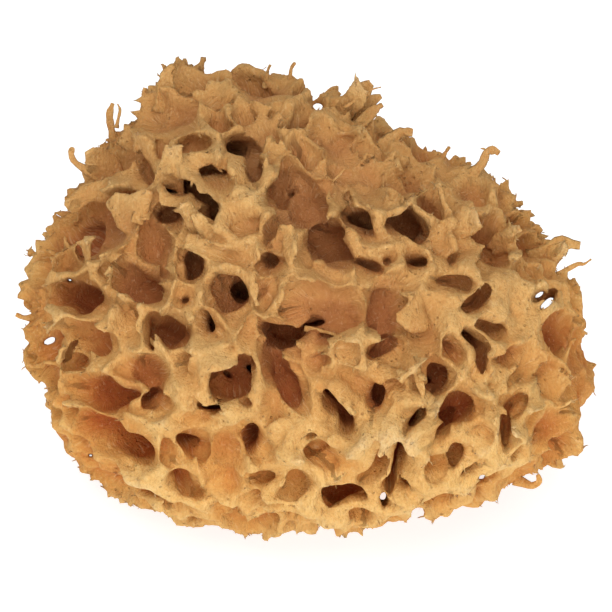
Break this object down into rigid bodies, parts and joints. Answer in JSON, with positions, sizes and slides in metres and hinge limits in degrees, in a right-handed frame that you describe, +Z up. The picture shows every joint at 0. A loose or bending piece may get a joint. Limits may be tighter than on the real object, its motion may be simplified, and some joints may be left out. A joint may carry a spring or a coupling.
{
  "type": "bath sponge",
  "caption": "Natural honeycomb sea sponge: a rounded, irregular lump of open cells between thin ragged walls, cut off flat underneath so that it rests on a surface.",
  "frame": {"origin": "on the flat cut underneath, under the middle of the body", "axes": "+Z up, out of the cut; -Y towards the viewer of the picture; +X to that viewer's right"},
  "size_m": [0.1402, 0.1274, 0.0985],
  "materials": {
    "sponge_fibre": "matte, fibrous, golden tan with brown hollows"
  },
  "bodies": {
    "root": {"sponge": "sponge_fibre"}
  },
  "joints": []
}
